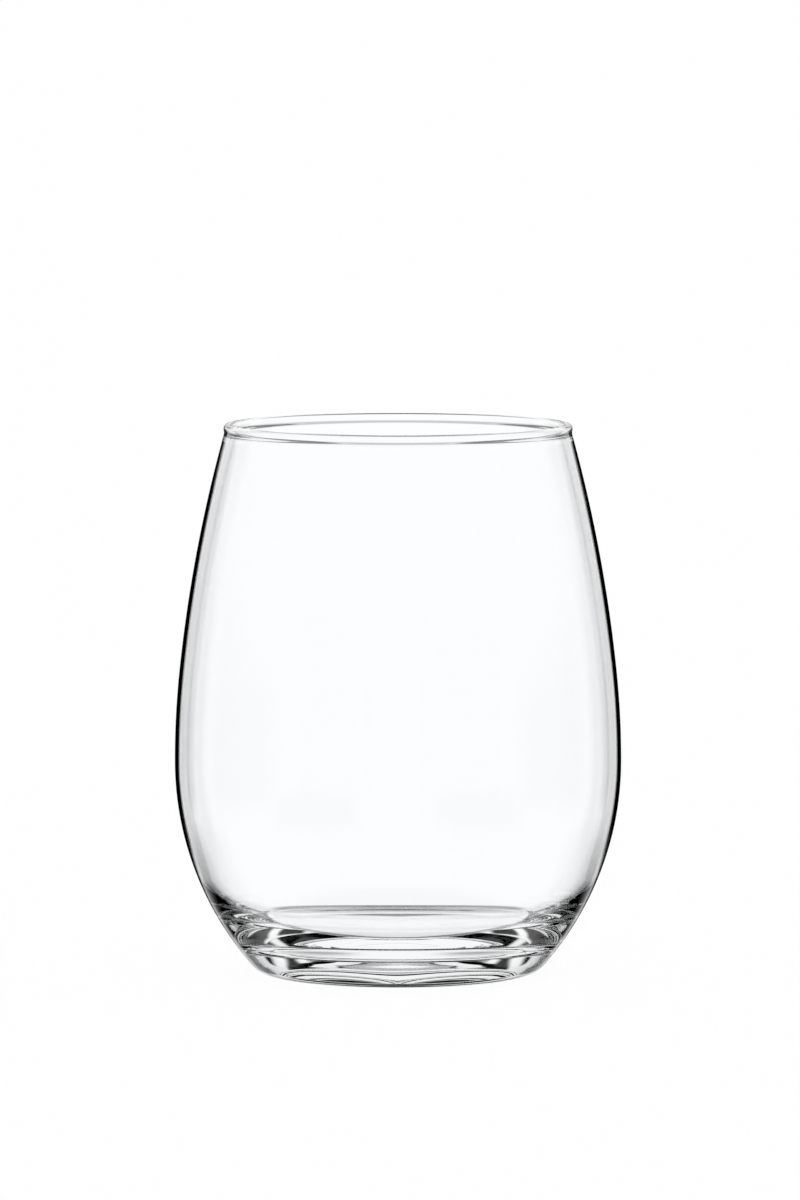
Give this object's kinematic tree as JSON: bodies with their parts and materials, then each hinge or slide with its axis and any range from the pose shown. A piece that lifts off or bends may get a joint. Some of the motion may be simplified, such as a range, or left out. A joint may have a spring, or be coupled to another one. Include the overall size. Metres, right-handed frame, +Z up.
{
  "type": "stemless wine glass",
  "caption": "Clear stemless wine glass with a rounded bowl that narrows to a beaded rim, standing on a heavy flat base.",
  "frame": {"origin": "centre of the foot, on the table", "axes": "+Z up the axis of the bowl to its mouth; X and Y are alike, because the glass is round"},
  "size_m": [0.094, 0.094, 0.1155],
  "materials": {
    "glass": "clear, fire-polished"
  },
  "bodies": {
    "root": {"base": "glass", "lower_bowl": "glass", "upper_bowl": "glass", "rim": "glass"}
  },
  "joints": []
}
